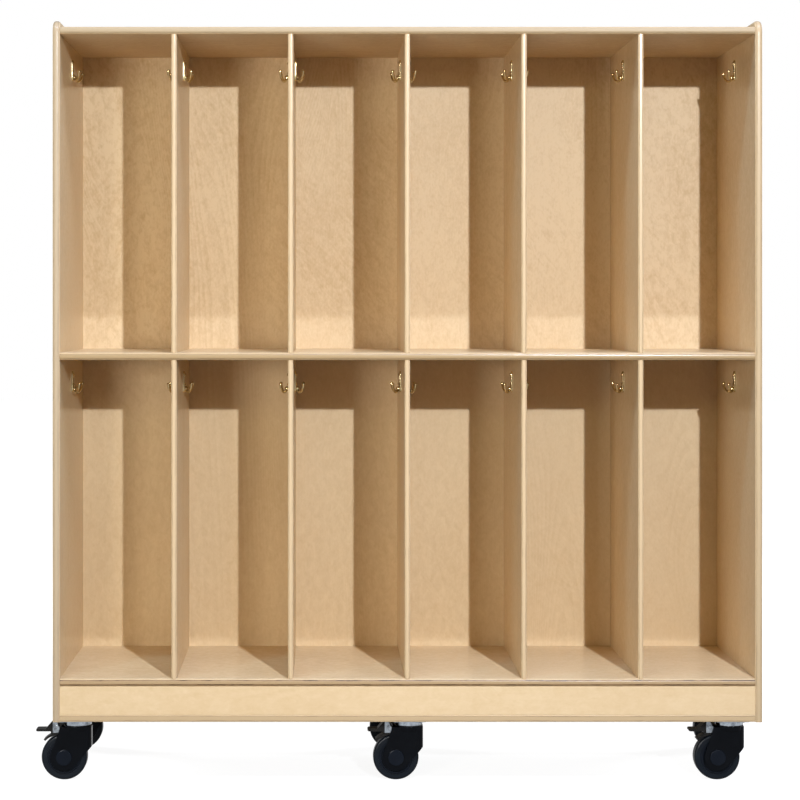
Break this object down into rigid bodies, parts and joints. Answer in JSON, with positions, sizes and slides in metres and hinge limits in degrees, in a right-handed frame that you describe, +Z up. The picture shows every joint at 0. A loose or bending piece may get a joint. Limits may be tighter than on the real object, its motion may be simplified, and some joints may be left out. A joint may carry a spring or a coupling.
{
  "type": "school coat locker",
  "caption": "Open plywood coat locker on swivel casters with foot brakes: rows of open sections, brass pronged hooks on their side walls, plinth and base board below.",
  "frame": {"origin": "on the floor at the centre of the footprint", "axes": "+Z up, +X to the right seen from the front, the open front faces -Y"},
  "size_m": [1.2445, 0.381, 1.28],
  "materials": {
    "birch_plywood": "clear satin varnish",
    "brass": "polished and lacquered",
    "zinc_steel": "zinc plated",
    "black_steel": "black satin powder coat",
    "black_plastic": "moulded, semi-gloss",
    "pedal_plastic": "moulded, matt",
    "tyre_rubber": "matt rubber"
  },
  "bodies": {
    "carcass": {"side_panel_left": "birch_plywood", "side_panel_right": "birch_plywood", "top_panel": "birch_plywood", "middle_shelf": "birch_plywood", "bottom_shelf": "birch_plywood", "base_board": "birch_plywood", "front_rail": "birch_plywood", "rear_rail": "birch_plywood", "back_panel": "birch_plywood", "upper_divider_1": "birch_plywood", "upper_divider_2": "birch_plywood", "upper_divider_3": "birch_plywood", "upper_divider_4": "birch_plywood", "upper_divider_5": "birch_plywood", "lower_divider_1": "birch_plywood", "lower_divider_2": "birch_plywood", "lower_divider_3": "birch_plywood", "lower_divider_4": "birch_plywood", "lower_divider_5": "birch_plywood", "coat_hooks": "brass", "hook_screws": "brass", "caster_plates": "zinc_steel", "swivel_bearings": "zinc_steel", "plate_screws": "zinc_steel"},
    "swivel_front_left": {"fork_front_left": "black_steel", "axle_front_left": "black_plastic", "brake_bracket_front_left": "zinc_steel"},
    "wheel_front_left": {"wheel_front_left": "black_plastic", "tyre_front_left": "tyre_rubber"},
    "pedal_front_left": {"brake_pedal_front_left": "pedal_plastic"},
    "swivel_front_centre": {"fork_front_centre": "black_steel", "axle_front_centre": "black_plastic", "brake_bracket_front_centre": "zinc_steel"},
    "wheel_front_centre": {"wheel_front_centre": "black_plastic", "tyre_front_centre": "tyre_rubber"},
    "pedal_front_centre": {"brake_pedal_front_centre": "pedal_plastic"},
    "swivel_front_right": {"fork_front_right": "black_steel", "axle_front_right": "black_plastic", "brake_bracket_front_right": "zinc_steel"},
    "wheel_front_right": {"wheel_front_right": "black_plastic", "tyre_front_right": "tyre_rubber"},
    "pedal_front_right": {"brake_pedal_front_right": "pedal_plastic"},
    "swivel_rear_left": {"fork_rear_left": "black_steel", "axle_rear_left": "black_plastic", "brake_bracket_rear_left": "zinc_steel"},
    "wheel_rear_left": {"wheel_rear_left": "black_plastic", "tyre_rear_left": "tyre_rubber"},
    "pedal_rear_left": {"brake_pedal_rear_left": "pedal_plastic"},
    "swivel_rear_centre": {"fork_rear_centre": "black_steel", "axle_rear_centre": "black_plastic", "brake_bracket_rear_centre": "zinc_steel"},
    "wheel_rear_centre": {"wheel_rear_centre": "black_plastic", "tyre_rear_centre": "tyre_rubber"},
    "pedal_rear_centre": {"brake_pedal_rear_centre": "pedal_plastic"},
    "swivel_rear_right": {"fork_rear_right": "black_steel", "axle_rear_right": "black_plastic", "brake_bracket_rear_right": "zinc_steel"},
    "wheel_rear_right": {"wheel_rear_right": "black_plastic", "tyre_rear_right": "tyre_rubber"},
    "pedal_rear_right": {"brake_pedal_rear_right": "pedal_plastic"}
  },
  "joints": [
    {"name": "swivel_turn_front_left", "type": "hinge", "parent": "carcass", "child": "swivel_front_left", "pos_m": [-0.557, -0.1355, 0.1], "axis": [0, 0, 1], "continuous": true},
    {"name": "wheel_spin_front_left", "type": "hinge", "parent": "swivel_front_left", "child": "wheel_front_left", "pos_m": [-0.579, -0.1355, 0.0385], "axis": [0, 1, 0], "continuous": true},
    {"name": "pedal_press_front_left", "type": "hinge", "parent": "swivel_front_left", "child": "pedal_front_left", "pos_m": [-0.5905, -0.1355, 0.0884], "axis": [0, -1, 0], "range_deg": [0, 6]},
    {"name": "swivel_turn_front_centre", "type": "hinge", "parent": "carcass", "child": "swivel_front_centre", "pos_m": [0.004, -0.1355, 0.1], "axis": [0, 0, 1], "continuous": true},
    {"name": "wheel_spin_front_centre", "type": "hinge", "parent": "swivel_front_centre", "child": "wheel_front_centre", "pos_m": [-0.018, -0.1355, 0.0385], "axis": [0, 1, 0], "continuous": true},
    {"name": "pedal_press_front_centre", "type": "hinge", "parent": "swivel_front_centre", "child": "pedal_front_centre", "pos_m": [-0.0295, -0.1355, 0.0884], "axis": [0, -1, 0], "range_deg": [0, 6]},
    {"name": "swivel_turn_front_right", "type": "hinge", "parent": "carcass", "child": "swivel_front_right", "pos_m": [0.5475, -0.1355, 0.1], "axis": [0, 0, 1], "continuous": true},
    {"name": "wheel_spin_front_right", "type": "hinge", "parent": "swivel_front_right", "child": "wheel_front_right", "pos_m": [0.5255, -0.1355, 0.0385], "axis": [0, 1, 0], "continuous": true},
    {"name": "pedal_press_front_right", "type": "hinge", "parent": "swivel_front_right", "child": "pedal_front_right", "pos_m": [0.514, -0.1355, 0.0884], "axis": [0, -1, 0], "range_deg": [0, 6]},
    {"name": "swivel_turn_rear_left", "type": "hinge", "parent": "carcass", "child": "swivel_rear_left", "pos_m": [-0.557, 0.1355, 0.1], "axis": [0, 0, 1], "continuous": true},
    {"name": "wheel_spin_rear_left", "type": "hinge", "parent": "swivel_rear_left", "child": "wheel_rear_left", "pos_m": [-0.579, 0.1355, 0.0385], "axis": [0, 1, 0], "continuous": true},
    {"name": "pedal_press_rear_left", "type": "hinge", "parent": "swivel_rear_left", "child": "pedal_rear_left", "pos_m": [-0.5905, 0.1355, 0.0884], "axis": [0, -1, 0], "range_deg": [0, 6]},
    {"name": "swivel_turn_rear_centre", "type": "hinge", "parent": "carcass", "child": "swivel_rear_centre", "pos_m": [0.004, 0.1355, 0.1], "axis": [0, 0, 1], "continuous": true},
    {"name": "wheel_spin_rear_centre", "type": "hinge", "parent": "swivel_rear_centre", "child": "wheel_rear_centre", "pos_m": [-0.018, 0.1355, 0.0385], "axis": [0, 1, 0], "continuous": true},
    {"name": "pedal_press_rear_centre", "type": "hinge", "parent": "swivel_rear_centre", "child": "pedal_rear_centre", "pos_m": [-0.0295, 0.1355, 0.0884], "axis": [0, -1, 0], "range_deg": [0, 6]},
    {"name": "swivel_turn_rear_right", "type": "hinge", "parent": "carcass", "child": "swivel_rear_right", "pos_m": [0.5475, 0.1355, 0.1], "axis": [0, 0, 1], "continuous": true},
    {"name": "wheel_spin_rear_right", "type": "hinge", "parent": "swivel_rear_right", "child": "wheel_rear_right", "pos_m": [0.5695, 0.1355, 0.0385], "axis": [0, 1, 0], "continuous": true},
    {"name": "pedal_press_rear_right", "type": "hinge", "parent": "swivel_rear_right", "child": "pedal_rear_right", "pos_m": [0.581, 0.1355, 0.0884], "axis": [0, 1, 0], "range_deg": [0, 6]}
  ]
}
